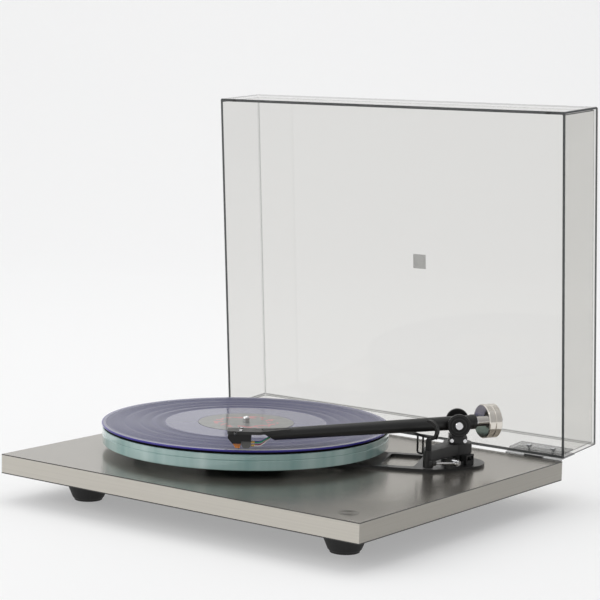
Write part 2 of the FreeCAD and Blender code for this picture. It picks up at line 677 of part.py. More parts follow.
def arm_tube():
    bore = TUBE_END_R - TUBE_WALL
    shape = lathe([(STUB_R, -TUBE_REAR), (TUBE_R + 0.4, -TUBE_REAR), (TUBE_R + 0.4, 4 - TUBE_REAR),
                   (TUBE_R, 4.4 - TUBE_REAR), (TUBE_R, 0), (TUBE_END_R, TUBE_STOP), (TUBE_END_R, TUBE_TOP_END),
                   (bore, TUBE_TOP_END), (bore, TUBE_STOP), (TUBE_R - TUBE_WALL, 2),
                   (TUBE_R - TUBE_WALL, -8), (STUB_R, -8)])
    shape = facing_x(shape)
    shape.translate(vec(0, 0, ARM_Z))
    corners = [(-19.0, -6.5, 3.5), (8.0, -6.5, 3.0), (8.0, 6.5, 3.0), (-19.0, 6.5, 3.5)]
    spots = [(*in_tube_frame(x, y), r) for x, y, r in corners]
    neck = (TUBE_STOP - 13, 0, TUBE_END_R - 0.8)
    plate_top = PLATE_LOW + PLATE_T
    plate = union([hull(spots, PLATE_LOW, plate_top),
                   hull([neck, spots[0], spots[3]], PLATE_LOW, plate_top)])
    low = ARM_Z - TUBE_R
    slope = prism_xz([(TUBE_STOP - 3, low), (TUBE_TOP_END, PLATE_LOW), (TUBE_TOP_END + 9, PLATE_LOW),
                      (TUBE_TOP_END + 9, low)], -9, 9)
    hollow = facing_x(cyl(bore, TUBE_STOP - 25, TUBE_TOP_END))
    hollow.translate(vec(0, 0, ARM_Z))
    hollow = hollow.common(box(0, TUBE_TOP_END + 9, -9, 9, low, PLATE_LOW))
    root = in_tube_frame(4, 8.5)
    out = in_tube_frame(3, 19)
    tip = in_tube_frame(0, 26)
    lift_z = PLATE_LOW + 1.5
    finger = bent_rod([(*root, lift_z), (*out, lift_z), (*tip, lift_z + 3.5)], 0.9, 5.0)
    shape = union([shape, plate, finger]).cut([slope, hollow])
    cuts = []
    for y in (-SCREW_SPACING / 2, SCREW_SPACING / 2):
        cuts.append(cyl(1.2, PLATE_LOW, PLATE_LOW + PLATE_T, in_tube_frame(-2, y)))
    a = math.radians(AXLE_ANGLE - TUBE_ANGLE)
    ax, ay = 12 * math.cos(a), 12 * math.sin(a)
    cuts.append(rod((-ax, -ay, ARM_Z), (ax, ay, ARM_Z), AXLE_R))
    return turned(shape.cut(cuts), TUBE_ANGLE, PIVOT_XY)


def bearing_axle():
    end = YOKE_HALF - 0.7
    return turned(rod((-end, 0, ARM_Z), (end, 0, ARM_Z), AXLE_R), AXLE_ANGLE, PIVOT_XY)


def rear_parts():
    stub = facing_x(cone(STUB_R - 0.6, STUB_R, -STUB_END, -STUB_END + 0.6).fuse(
        cyl(STUB_R, -STUB_END + 0.6, -8)).removeSplitter())
    far = -WEIGHT_FRONT - WEIGHT_LEN
    mid = far + WEIGHT_LEN / 2
    edge, groove = 0.9, 0.6
    bore = STUB_R + RUN_FIT
    weight = facing_x(lathe([(bore, far), (WEIGHT_R - edge, far), (WEIGHT_R, far + edge),
                             (WEIGHT_R, mid - groove), (WEIGHT_R - groove, mid),
                             (WEIGHT_R, mid + groove), (WEIGHT_R, -WEIGHT_FRONT - edge),
                             (WEIGHT_R - edge, -WEIGHT_FRONT), (bore, -WEIGHT_FRONT)]))
    return [turned(shape, TUBE_ANGLE, PIVOT_XY, ARM_Z) for shape in (stub, weight)]


def cartridge():
    tip = RECORD_TOP + 0.05
    top = PLATE_LOW
    waist, ledge, chin = top - 7, top - 9.5, tip + 2.1
    body = prism_xz([(-12, top), (10, top), (10.6, top - 4), (6, ledge), (-2.6, ledge),
                     (-2.6, waist), (-12, waist)], -7.8, 7.8)
    cover = box(-12, -2.8, -6.4, 6.4, tip + 2.6, waist)
    round_edges = [e for e in cover.Edges if abs(e.CenterOfMass.z - tip - 2.6) < 0.01
                   and abs(e.CenterOfMass.y) < 0.01]
    cover = cover.makeFillet(3.4, round_edges)
    holder = prism_xz([(-2.6, ledge), (6, ledge), (3.2, chin), (-1.2, chin)], -4, 4)
    stylus = cone(0.12, 0.55, tip, chin, (0, 0))
    cuts, screws, pins = [], [], []
    for y in (-SCREW_SPACING / 2, SCREW_SPACING / 2):
        cuts.append(cyl(1.2, waist + 1, top, (-2, y)))
        one = screw(2.1, 1.6, 1.2, PLATE_T + 6, 0.7)
        screws.append(turned(one, 30, (-2, y), top + PLATE_T))
    leads = []
    mouth = in_cartridge_frame(TUBE_STOP + 3)
    deep = in_cartridge_frame(TUBE_STOP - 17)
    for y in (-2.6, 2.6):
        for z in (tip + 4.4, tip + 7.6):
            pins.append(rod((-15.5, y, z), (-12, y, z), 0.6))
            leads.append(bent_rod([(-15.5, y, z), (-21, y * 1.1, z),
                                   (mouth[0], mouth[1] + y * 0.5, ARM_Z - 2.2 + (z - tip - 6) * 0.45),
                                   (deep[0], deep[1] + y * 0.35, ARM_Z - 1 + (z - tip - 6) * 0.45)],
                                  0.5, 6.0))
    nodes = {"cartridge_body": body.cut(cuts), "cartridge_cover": cover, "stylus_holder": holder,
             "stylus": stylus, "cartridge_screws": group(screws), "cartridge_pins": group(pins),
             "cartridge_leads": group(leads)}
    return {name: turned(shape, HEAD_ANGLE, STYLUS_XY) for name, shape in nodes.items()}


def in_cartridge_frame(along):
    """A place on the arm tube's axis, seen from the stylus along and beside
    the cartridge."""
    x, y = polar(PIVOT_XY, along, TUBE_ANGLE)
    dx, dy = x - STYLUS_XY[0], y - STYLUS_XY[1]
    a = math.radians(HEAD_ANGLE)
    return (dx * math.cos(a) + dy * math.sin(a), dy * math.cos(a) - dx * math.sin(a))


# ---- lid and hinges -----------------------------------------------------------
def hinge_screw_x():
    half = HINGE_SCREW_GAP / 2
    return [side * HINGE_X + off for side in (-1, 1) for off in (-half, half)]


def lid():
    """The clear lid shut on the deck; it is swung open afterwards."""
    low = DECK + LID_GAP
    top = low + LID_H
    half = LID_W / 2
    y0, y1 = REAR - LID_D, REAR
    shell = box(-half, half, y0, y1, low, top)
    outer = [e for e in shell.Edges if e.CenterOfMass.z > low + 1]
    shell = shell.makeFillet(LID_ROUND, outer)
    inner = box(-half + LID_WALL, half - LID_WALL, y0 + LID_WALL, y1 - LID_WALL, low, top - LID_WALL)
    upper = [e for e in inner.Edges if e.CenterOfMass.z > low + 1]
    shell = shell.cut(inner.makeFillet(1.0, upper))
    mid_y = (y0 + y1) / 2
    plate = box(-8, 8, mid_y - 8, mid_y + 8, top, top + 0.6)
    plate = plate.cut(tube(6.0, 5.0, top + 0.3, top + 0.6, (0, mid_y)))
    shell = union([shell, plate])
    screw_z = PIN_Z + HINGE_SCREW_UP
    holes = [rod((x, y1 - 6, screw_z), (x, y1 + 2, screw_z), SMALL_SCREW_R) for x in hinge_screw_x()]
    buffers = [cyl(2.5, DECK + 0.1, low, (x, y0 + LID_WALL / 2 + 1)).common(
        box(-half, half, y0, y0 + LID_WALL, DECK, low)) for x in (-half + 20, half - 20)]
    leaves, plates, screws = [], [], []
    plate_t = 1.5
    for side in (-1, 1):
        x0, x1 = side * HINGE_X - HINGE_W / 2, side * HINGE_X + HINGE_W / 2
        third = HINGE_W / 3
        leaf = [box(x0, x1, y1, y1 + LEAF_T, low, low + LEAF_H)]
        for a, b in ((x0, x0 + third), (x1 - third, x1)):
            leaf.append(rod((a, PIN_Y, PIN_Z), (b, PIN_Y, PIN_Z), KNUCKLE_R))
            leaf.append(box(a, b, y1 + 0.4, y1 + LEAF_T, PIN_Z, low))
        bore = rod((x0, PIN_Y, PIN_Z), (x1, PIN_Y, PIN_Z), PIN_R + RUN_FIT)
        notch = box(x0 + third, x1 - third, y1 - 1, y1 + LEAF_T, low, low + 1.8)
        leaves.append(union(leaf).cut([bore, notch, *holes]))
        inside = y1 - LID_WALL
        pad = box(x0 + 2, x1 - 2, inside - plate_t, inside, low + 1, low + LEAF_H)
        plates.append(pad.cut(holes))
    for x in hinge_screw_x():
        one = screw(3.2, 1.6, SMALL_SCREW_R, plate_t + LID_WALL + LEAF_T, 0.9)
        one.rotate(vec(0, 0, 0), vec(1, 0, 0), 90)
        one.translate(vec(x, y1 - LID_WALL - plate_t, screw_z))
        screws.append(one)
    nodes = {"dust_cover": shell.cut(holes), "lid_buffers": group(buffers),
             "hinge_leaves": group(leaves), "hinge_inner_plates": group(plates),
             "hinge_leaf_screws": group(screws)}
    for shape in nodes.values():
        shape.rotate(vec(0, PIN_Y, PIN_Z), vec(1, 0, 0), -LID_OPEN)
    return nodes


def hinge_roots():
    brackets, pins, screws = [], [], []
    third = HINGE_W / 3
    for side in (-1, 1):
        x0 = side * HINGE_X - HINGE_W / 2
        a, b = x0 + third + 0.3, x0 + 2 * third - 0.3
        plate = box(x0, x0 + HINGE_W, REAR, REAR + LEAF_T, PIN_Z - 14, PIN_Z - 4)
        neck = box(a, b, REAR, PIN_Y, PIN_Z - 4, PIN_Z)
        knuckle = rod((a, PIN_Y, PIN_Z), (b, PIN_Y, PIN_Z), KNUCKLE_R)
        body = union([plate, neck, knuckle])
        cuts = [rod((a, PIN_Y, PIN_Z), (b, PIN_Y, PIN_Z), PIN_R)]
        cuts += [rod((x, REAR, z), (x, REAR + LEAF_T, z), SMALL_SCREW_R) for x, z in bracket_screw_spots()]
        brackets.append(body.cut(cuts))
        pins.append(rod((x0 - 0.5, PIN_Y, PIN_Z), (x0 + HINGE_W + 0.5, PIN_Y, PIN_Z), PIN_R))
    for x, z in bracket_screw_spots():
        one = screw(2.8, 1.4, SMALL_SCREW_R, 12 + LEAF_T, 0.8)
        one.rotate(vec(0, 0, 0), vec(1, 0, 0), -90)
        one.translate(vec(x, REAR + LEAF_T, z))
        screws.append(one)
    return {"hinge_brackets": group(brackets), "hinge_pins": group(pins),
            "hinge_bracket_screws": group(screws)}


# ---- the whole object ----------------------------------------------------------
def build():
    nodes = plinth()
    nodes["top_brace"] = brace(DECK, BRACE_TOP, BEARING_FLANGE_R)
    nodes["bottom_brace"] = brace(FOOT_H - BRACE_T, FOOT_H, BEARING_R)
    for name, spot in FEET_XY.items():
        nodes[name] = foot(spot)
    nodes["underside_screws"] = underside()
    nodes["power_switch"] = switch()
    nodes["power_inlet"], nodes["signal_gland"] = ports()
    nodes["control_board"] = control_board()
    nodes["bearing_housing"], nodes["bearing_ball"], nodes["spindle"] = bearing()
    nodes["sub_platter"] = sub_platter()
    nodes.update(platter())
    nodes.update(motor())
    nodes["drive_belt"] = drive_belt()
    nodes["arm_pillar"] = arm_pillar()
    nodes["arm_lock_nut"] = lock_nut()
    nodes["arm_base"] = arm_base()
    nodes["bias_slider"] = bias_slider()
    nodes["arm_rest_clip"] = rest_clip()
    nodes["lift_platform"] = lift()
    nodes["lift_lever"], nodes["lift_lever_tip"], nodes["lift_lever_pin"] = lever()
    nodes.update(yoke())
    nodes["force_dial"] = force_dial()
    nodes["arm_tube"] = arm_tube()
    nodes["bearing_axle"] = bearing_axle()
    nodes["rear_stub"], nodes["counterweight"] = rear_parts()
    nodes.update(cartridge())
    nodes.update(hinge_roots())
    nodes.update(lid())
    return nodes


os.makedirs("parts", exist_ok=True)
NODES = build()
whole = FreeCAD.BoundBox()
for node, shape in NODES.items():
    shape.translate(vec(0, -Y_SHIFT, 0))
    shape.exportStep("parts/" + node + ".step")
    whole.add(shape.BoundBox)
    print(node, len(shape.Solids), "solid(s)", round(shape.Volume, 1), "mm3, valid", shape.isValid())
print("nodes", len(NODES), "shift", round(Y_SHIFT, 4))
print("box", [round(v, 3) for v in (whole.XMin, whole.YMin, whole.ZMin, whole.XMax, whole.YMax, whole.ZMax)])
for label, spot in (("pivot", PIVOT_XY), ("stylus", STYLUS_XY), ("motor", MOTOR_XY),
                    ("clip", CLIP_XY), ("spindle", SPINDLE_XY)):
    print(label, round(spot[0], 4), round(spot[1] - Y_SHIFT, 4))
print("hinge pin y, z", round(PIN_Y - Y_SHIFT, 4), PIN_Z, "arm z", ARM_Z)
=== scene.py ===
# %% [markdown]
# # A belt-driven turntable, finished for the shop window
# The working model of the turntable is already built: every plate, bearing and
# screw has its size and its place. Here each of those pieces gets its finish,
# and the few whose charm is finer than the working model holds are made again.

# %% Load the frame
import json
import math

import bmesh
import bpy
from mathutils import Matrix, Vector


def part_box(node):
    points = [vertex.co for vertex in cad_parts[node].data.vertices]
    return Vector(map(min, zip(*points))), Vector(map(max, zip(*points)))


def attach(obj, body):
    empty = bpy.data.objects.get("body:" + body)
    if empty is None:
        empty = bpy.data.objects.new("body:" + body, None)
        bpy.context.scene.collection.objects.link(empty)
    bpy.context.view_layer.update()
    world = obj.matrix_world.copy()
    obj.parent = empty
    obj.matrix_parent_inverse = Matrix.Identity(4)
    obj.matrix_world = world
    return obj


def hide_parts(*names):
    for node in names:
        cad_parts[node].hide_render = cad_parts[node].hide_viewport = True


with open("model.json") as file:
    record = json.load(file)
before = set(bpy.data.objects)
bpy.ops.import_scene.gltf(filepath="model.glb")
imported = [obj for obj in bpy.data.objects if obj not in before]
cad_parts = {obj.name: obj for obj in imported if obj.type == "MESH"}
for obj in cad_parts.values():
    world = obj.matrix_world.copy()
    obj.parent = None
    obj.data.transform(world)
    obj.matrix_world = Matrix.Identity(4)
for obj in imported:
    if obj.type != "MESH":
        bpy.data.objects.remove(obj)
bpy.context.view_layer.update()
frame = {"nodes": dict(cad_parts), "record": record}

MM = 0.001
nodes = frame["nodes"]


def centre_of(node):
    low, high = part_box(node)
    return (low + high) / 2


deck_low, deck_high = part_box("plinth_top_skin")
deck_z = deck_high.z
deck_centre = Vector(((deck_low.x + deck_high.x) / 2, (deck_low.y + deck_high.y) / 2, deck_z))
spindle = centre_of("record")
print("deck top at", round(deck_z / MM, 1), "mm; record centre", [round(v / MM, 1) for v in spindle])

# %% [markdown]
# ## The camera
# The turntable is seen from a little right of its front and only a little
# above the deck, through a long lens from about two metres away. A long lens
# keeps the edges of the plinth nearly parallel. The place is measured from the
# middle of the deck, so it follows the turntable if the frame ever moves.

# %% The camera
AZIMUTH, ELEVATION, ROLL = math.radians(36.72), math.radians(7.03), math.radians(1.28)
LENS, SENSOR = 118.28, 36.0
eye = deck_centre + Vector((1203.78, -1591.91, 410.16)) * MM

back = Vector((math.sin(AZIMUTH) * math.cos(ELEVATION), -math.cos(AZIMUTH) * math.cos(ELEVATION),
               math.sin(ELEVATION)))
level_right = (-back).cross(Vector((0, 0, 1))).normalized()
level_up = level_right.cross(-back)
right = level_right * math.cos(ROLL) + level_up * math.sin(ROLL)
up = level_up * math.cos(ROLL) - level_right * math.sin(ROLL)
camera = bpy.data.objects.new("camera", bpy.data.cameras.new("camera"))
camera.data.lens = LENS
camera.data.sensor_width = SENSOR
camera.data.clip_end = 50
camera.matrix_world = Matrix.Translation(eye) @ Matrix((right, up, back)).transposed().to_4x4()
bpy.context.scene.collection.objects.link(camera)
bpy.context.scene.camera = camera
print("camera", [round(v, 3) for v in eye])

# %% [markdown]
# ## The studio
# A product like this is shot on a white sweep: a floor that curves up into the
# backdrop, so there is no line behind the clear lid. The light is broad and
# soft. A wide panel from the front left makes the front edge of the plinth the
# brightest, and the right edge falls into a soft grey, deepened by a painted
# shade on the plinth's short ends.

# %% The sweep
FLOOR_HALF, SWEEP_BACK, SWEEP_UP, CURVE = 6.0, 3.2, 4.0, 1.2


def sweep():
    """A floor that bends up into a wall, facing the camera's side."""
    profile = [(-5.0, 0.0), (SWEEP_BACK - CURVE, 0.0)]
    steps = 24
    for i in range(1, steps + 1):
        a = math.pi / 2 * i / steps
        profile.append((SWEEP_BACK - CURVE + CURVE * math.sin(a), CURVE - CURVE * math.cos(a)))
    profile.append((SWEEP_BACK, SWEEP_UP))
    mesh = bpy.data.meshes.new("studio_sweep")
    verts, faces = [], []
    for y, z in profile:
        verts += [(-FLOOR_HALF, y, z), (FLOOR_HALF, y, z)]
    for i in range(len(profile) - 1):
        faces.append((2 * i, 2 * i + 1, 2 * i + 3, 2 * i + 2))
    mesh.from_pydata(verts, [], faces)
    mesh.transform(Matrix.Rotation(AZIMUTH, 4, "Z"))
    mesh.polygons.foreach_set("use_smooth", [True] * len(mesh.polygons))
    thing = bpy.data.objects.new("studio_sweep", mesh)
    bpy.context.scene.collection.objects.link(thing)
    return thing


studio = sweep()

# %% Light from all round
world = bpy.data.worlds.new("studio")
bpy.context.scene.world = world
world.use_nodes = True
bpy.context.scene.view_settings.view_transform = "Standard"
LEFT_STRENGTH, RIGHT_STRENGTH = 0.98, 0.5


def light_from_the_left(tree):
    """The room's white light, strong on the left and weaker on the right."""
    way = tree.nodes.new("ShaderNodeTexCoord").outputs["Generated"]
    split = tree.nodes.new("ShaderNodeSeparateXYZ")
    tree.links.new(way, split.inputs[0])
    ramp = tree.nodes.new("ShaderNodeMapRange")
    for label, value in (("From Min", -0.9), ("From Max", 0.9), ("To Min", LEFT_STRENGTH),
                         ("To Max", RIGHT_STRENGTH)):
        ramp.inputs[label].default_value = value
    tree.links.new(split.outputs["X"], ramp.inputs["Value"])
    tree.links.new(ramp.outputs["Result"], tree.nodes["Background"].inputs["Strength"])
    tree.nodes["Background"].inputs["Color"].default_value = (0.985, 0.99, 1.0, 1)


light_from_the_left(world.node_tree)


# %% The soft boxes
def softbox(name, place, aim, size, watts, colour=(1, 1, 1)):
    lamp = bpy.data.lights.new(name, "AREA")
    lamp.shape = "RECTANGLE"
    lamp.size, lamp.size_y = size
    lamp.energy = watts
    lamp.color = colour
    thing = bpy.data.objects.new(name, lamp)
    bpy.context.scene.collection.objects.link(thing)
    thing.location = place
    thing.rotation_euler = (Vector(aim) - Vector(place)).to_track_quat("-Z", "Y").to_euler()
    return thing


softbox("backdrop_wash", (-1.0, 1.0, 3.2), (-1.6, 2.8, 1.2), (3.0, 1.0), 19)
softbox("key_front_left", (-1.4, -2.2, 1.5), (0, -0.1, 0.05), (1.6, 1.2), 17, (1.0, 0.985, 0.96))
softbox("top_panel", (0.1, 0.2, 2.2), (0, 0, 0), (2.2, 1.6), 9)
print("lamps", [lamp.name for lamp in bpy.data.lights])

# %% [markdown]
# ## Finishes
# A finish is more than a colour. Brushed metal has long scratches, powder coat
# has a fine orange peel, and moulded plastic a dull tooth. Each of these is
# one small group of shader nodes that takes its sizes as inputs, so the same
# group serves many pieces with different values.


# %% How a finish is put together
def new_group(name, inputs, outputs):
    """A shader group with named sockets; returns it with its two end nodes."""
    tree = bpy.data.node_groups.new(name, "ShaderNodeTree")
    for label, kind, value in inputs:
        socket = tree.interface.new_socket(name=label, in_out="INPUT", socket_type=kind)
        socket.default_value = value
    for label, kind in outputs:
        tree.interface.new_socket(name=label, in_out="OUTPUT", socket_type=kind)
    return tree, tree.nodes.new("NodeGroupInput"), tree.nodes.new("NodeGroupOutput")


def add(tree, kind, **values):
    node = tree.nodes.new(kind)
    for key, value in values.items():
        if hasattr(node, key):
            setattr(node, key, value)
        else:
            node.inputs[key.replace("_", " ")].default_value = value
    return node


def maths(tree, operation, a, b=None, clamp=False):
    node = tree.nodes.new("ShaderNodeMath")
    node.operation = operation
    node.use_clamp = clamp
    for socket, value in zip(node.inputs, (a, b)):
        if value is None:
            continue
        if isinstance(value, (int, float)):
            socket.default_value = value
        else:
            tree.links.new(value, socket)
    return node.outputs[0]


def blend_colours(tree, factor, first, second):
    node = tree.nodes.new("ShaderNodeMix")
    node.data_type = "RGBA"
    for socket, value in ((node.inputs[0], factor), (node.inputs[6], first), (node.inputs[7], second)):
        if isinstance(value, (int, float)):
            socket.default_value = value
        elif isinstance(value, tuple):
            socket.default_value = (*value, 1)
        else:
            tree.links.new(value, socket)
    return node.outputs[2]


def grain_group():
    """Fine noise at two scales: a tooth for plastics, castings and rubber."""
    tree, into, out = new_group(
        "fine_grain",
        [("Size", "NodeSocketFloat", 0.4), ("Patch Size", "NodeSocketFloat", 20.0),
         ("Colour", "NodeSocketColor", (0.5, 0.5, 0.5, 1)), ("Colour Change", "NodeSocketFloat", 0.1),
         ("Roughness", "NodeSocketFloat", 0.5), ("Roughness Change", "NodeSocketFloat", 0.1)],
        [("Colour", "NodeSocketColor"), ("Roughness", "NodeSocketFloat"), ("Height", "NodeSocketFloat")])
    place = add(tree, "ShaderNodeTexCoord").outputs["Object"]
    fine = add(tree, "ShaderNodeTexNoise", Detail=3.0)
    patch = add(tree, "ShaderNodeTexNoise", Detail=2.0)
    for noise, size in ((fine, "Size"), (patch, "Patch Size")):
        tree.links.new(place, noise.inputs["Vector"])
        tree.links.new(maths(tree, "DIVIDE", 1000.0, into.outputs[size]), noise.inputs["Scale"])
    swing = maths(tree, "SUBTRACT", patch.outputs["Fac"], 0.5)
    lift = maths(tree, "ADD", maths(tree, "MULTIPLY", swing, into.outputs["Colour Change"]), 1.0)
    scaled = tree.nodes.new("ShaderNodeVectorMath")
    scaled.operation = "SCALE"
    tree.links.new(into.outputs["Colour"], scaled.inputs[0])
    tree.links.new(lift, scaled.inputs["Scale"])
    tree.links.new(scaled.outputs[0], out.inputs["Colour"])
    rough = maths(tree, "MULTIPLY", swing, into.outputs["Roughness Change"])
    tree.links.new(maths(tree, "ADD", rough, into.outputs["Roughness"], True), out.inputs["Roughness"])
    tree.links.new(fine.outputs["Fac"], out.inputs["Height"])
    return tree


def brushed_group():
    """Long scratches from a belt, along whichever way Stretch is smallest."""
    tree, into, out = new_group(
        "brushed_lines",
        [("Stretch", "NodeSocketVector", (6, 1500, 1500)), ("Light", "NodeSocketColor", (0.6, 0.6, 0.6, 1)),
         ("Dark", "NodeSocketColor", (0.4, 0.4, 0.4, 1)), ("Roughness", "NodeSocketFloat", 0.3),
         ("Roughness Change", "NodeSocketFloat", 0.15)],
        [("Colour", "NodeSocketColor"), ("Roughness", "NodeSocketFloat"), ("Height", "NodeSocketFloat")])
    place = add(tree, "ShaderNodeTexCoord").outputs["Object"]
    stretch = tree.nodes.new("ShaderNodeVectorMath")
    stretch.operation = "MULTIPLY"
    tree.links.new(place, stretch.inputs[0])
    tree.links.new(into.outputs["Stretch"], stretch.inputs[1])
    fine = add(tree, "ShaderNodeTexNoise", Scale=1.0, Detail=4.0, Roughness=0.7)
    broad = add(tree, "ShaderNodeTexNoise", Scale=0.2, Detail=2.0)
    for noise in (fine, broad):
        tree.links.new(stretch.outputs[0], noise.inputs["Vector"])
    both = maths(tree, "ADD", maths(tree, "MULTIPLY", fine.outputs["Fac"], 0.75),
                 maths(tree, "MULTIPLY", broad.outputs["Fac"], 0.25))
    tree.links.new(blend_colours(tree, both, into.outputs["Dark"], into.outputs["Light"]),
                   out.inputs["Colour"])
    swing = maths(tree, "SUBTRACT", both, 0.5)
    rough = maths(tree, "MULTIPLY", swing, into.outputs["Roughness Change"])
    tree.links.new(maths(tree, "ADD", rough, into.outputs["Roughness"], True), out.inputs["Roughness"])
    tree.links.new(both, out.inputs["Height"])
    return tree


GRAIN = grain_group()
BRUSHED = brushed_group()


def blank(name, **sockets):
    """A new material and its one surface shader, with plain values set."""
    mat = bpy.data.materials.new(name)
    mat.use_nodes = True
    shader = mat.node_tree.nodes["Principled BSDF"]
    for key, value in sockets.items():
        socket = shader.inputs[key.replace("_", " ")]
        socket.default_value = (*value, 1) if isinstance(value, tuple) and len(value) == 3 else value
    return mat, shader


def place_group(mat, shader, tree, bump=0.0, **values):
    """Put a finish group in a material and join it to the shader."""
    links = mat.node_tree.links
    group = mat.node_tree.nodes.new("ShaderNodeGroup")
    group.node_tree = tree
    for key, value in values.items():
        socket = group.inputs[key.replace("_", " ")]
        socket.default_value = (*value, 1) if socket.type == "RGBA" else value
    links.new(group.outputs["Colour"], shader.inputs["Base Color"])
    links.new(group.outputs["Roughness"], shader.inputs["Roughness"])
    if bump:
        relief = mat.node_tree.nodes.new("ShaderNodeBump")
        relief.inputs["Strength"].default_value = 0.6
        relief.inputs["Distance"].default_value = bump * MM
        links.new(group.outputs["Height"], relief.inputs["Height"])
        links.new(relief.outputs["Normal"], shader.inputs["Normal"])
    return group


def grained(name, colour, rough, size=0.4, bump=0.02, change=0.15, rough_change=0.12, **sockets):
    mat, shader = blank(name, **sockets)
    place_group(mat, shader, GRAIN, bump, Size=size, Colour=colour, Roughness=rough,
                Colour_Change=change, Roughness_Change=rough_change)
    return mat


def wear(node, mat):
    """Give a piece of the working model its finish."""
    mesh = nodes[node].data
    mesh.materials.clear()
    mesh.materials.append(mat)


studio.data.materials.append(grained("studio_paper", (0.585, 0.585, 0.585), 0.9, 3.0, 0.0, 0.015,
                                     Emission_Color=(1, 1, 1), Emission_Strength=0.33))
print("finish groups:", GRAIN.name, BRUSHED.name)

# %% [markdown]
# ## The plinth
# The plinth is a light board skinned with brushed metal, with the belt marks
# running left to right. Its skins are laminates, so at the edge of the deck a
# thin dark line of phenolic shows. That line is the side of the skin itself:
# the material looks at which way a face points, and turns dark on the sides.


# %% The plinth's metal
# How much darker the short ends are than the front. It was chosen, not measured.
# Painted shade: the metal on the short ends is darkened by this much, standing in for the lesser light that
# falls on them.
PAINTED_END_SHADE = 0.66
ACROSS, ALONG = 2600, 4
SCRATCH_DEPTH = 0.0015
METAL = 0.85
SKIN_SIDE = (0.035, 0.034, 0.032)


def plinth_metal(name, light, dark, rough, kind):
    """Brushed metal. A skin has dark sides, and an edge has a painted shade on its ends."""
    mat, shader = blank(name, Metallic=METAL, Specular_IOR_Level=0.5)
    tree = mat.node_tree
    along = place_group(mat, shader, BRUSHED, SCRATCH_DEPTH, Stretch=(ALONG, ACROSS, ACROSS),
                        Light=light, Dark=dark, Roughness=rough, Roughness_Change=0.2)
    facing = tree.nodes.new("ShaderNodeSeparateXYZ")
    tree.links.new(tree.nodes.new("ShaderNodeNewGeometry").outputs["True Normal"], facing.inputs[0])
    if kind == "skin":
        flat = maths(tree, "GREATER_THAN", maths(tree, "ABSOLUTE", facing.outputs["Z"]), 0.5)
        colour = blend_colours(tree, flat, SKIN_SIDE, along.outputs["Colour"])
        tree.links.new(maths(tree, "MULTIPLY", flat, METAL), shader.inputs["Metallic"])
    else:
        # The ends take a darker copy of the brushed metal. This is painted shade, not a different finish.
        painted_shade_ends = tree.nodes.new("ShaderNodeGroup")
        painted_shade_ends.node_tree = BRUSHED
        painted_shade_ends.inputs["Stretch"].default_value = (ACROSS, ALONG, ACROSS)
        for label, shade in (("Light", light), ("Dark", dark)):
            painted_shade_ends.inputs[label].default_value = (*(PAINTED_END_SHADE * part for part in shade), 1)
        sideways = maths(tree, "GREATER_THAN", maths(tree, "ABSOLUTE", facing.outputs["X"]), 0.5)
        colour = blend_colours(tree, sideways, along.outputs["Colour"], painted_shade_ends.outputs["Colour"])
    tree.links.new(colour, shader.inputs["Base Color"])
    return mat


skin_metal = plinth_metal("brushed_deck", (0.50, 0.47, 0.42), (0.26, 0.245, 0.22), 0.22, "skin")
edge_metal = plinth_metal("brushed_edge", (0.64, 0.61, 0.55), (0.42, 0.40, 0.36), 0.38, "edge")
board = grained("board_core", (0.48, 0.36, 0.24), 0.8, 1.2, 0.05)
wear("plinth_top_skin", skin_metal)
wear("plinth_bottom_skin", grained("underside_black", (0.03, 0.03, 0.03), 0.6, 0.8, 0.03))
wear("plinth_edge_trim", edge_metal)
wear("plinth_core", board)

# %% Black parts, rubber and bright metal
phenolic = grained("phenolic_sheet", (0.012, 0.012, 0.012), 0.32, 0.5, 0.01)
rubber = grained("foot_rubber", (0.018, 0.018, 0.018), 0.62, 0.6, 0.04)
casting = grained("powder_coat", (0.009, 0.009, 0.009), 0.4, 0.35, 0.03)
moulded = grained("moulded_black", (0.006, 0.006, 0.006), 0.38, 0.3, 0.02, Specular_IOR_Level=0.3)
arm_black = grained("arm_satin", (0.014, 0.014, 0.0135), 0.38, 0.3, 0.012, Specular_IOR_Level=0.4)
chrome = grained("chrome", (0.62, 0.62, 0.63), 0.10, 2.0, 0.0, 0.03, 0.06, Metallic=1.0)
brass = grained("turned_brass", (0.72, 0.52, 0.22), 0.25, 1.0, 0.0, Metallic=1.0)
steel = grained("turned_steel", (0.62, 0.62, 0.62), 0.2, 0.8, 0.0, Metallic=1.0)
gold = grained("gold_pin", (0.85, 0.58, 0.18), 0.2, 1.0, 0.0, Metallic=1.0)
grey_plastic = grained("grey_shell", (0.085, 0.085, 0.08), 0.4, 0.4, 0.02)
green_board = grained("circuit_board", (0.02, 0.13, 0.05), 0.4, 1.5, 0.05)
amber, amber_shader = blank("amber_holder", Transmission_Weight=0.35, IOR=1.5)
place_group(amber, amber_shader, GRAIN, 0.01, Size=0.8, Colour=(0.80, 0.25, 0.02), Roughness=0.16)

FINISHES = {
    phenolic: ("top_brace", "bottom_brace"),
    rubber: ("foot_front_left", "foot_front_right", "foot_rear", "motor_mount", "drive_belt",
             "lid_buffers"),
    casting: ("arm_base", "arm_pillar", "bearing_yoke", "motor_body"),
    moulded: ("motor_cover", "power_switch", "power_inlet", "signal_gland", "hinge_brackets",
              "arm_rest_clip", "bias_slider", "lift_platform", "lift_lever_tip", "bearing_cap",
              "force_dial", "cartridge_body", "sub_platter"),
    arm_black: ("arm_tube",),
    chrome: ("underside_screws", "bearing_ball", "hinge_pins", "hinge_bracket_screws",
             "lift_lever_pin", "lift_lever", "yoke_screws", "rear_stub", "cartridge_screws",
             "hinge_leaf_screws"),
    brass: ("bearing_housing",),
    steel: ("spindle", "arm_lock_nut", "bearing_axle", "stylus", "motor_pulley"),
    gold: ("cartridge_pins",),
    grey_plastic: ("cartridge_cover",),
    green_board: ("control_board",),
    amber: ("stylus_holder",),
}
for mat, names in FINISHES.items():
    for name in names:
        wear(name, mat)
print("finished", sum(len(names) for names in FINISHES.values()), "pieces")
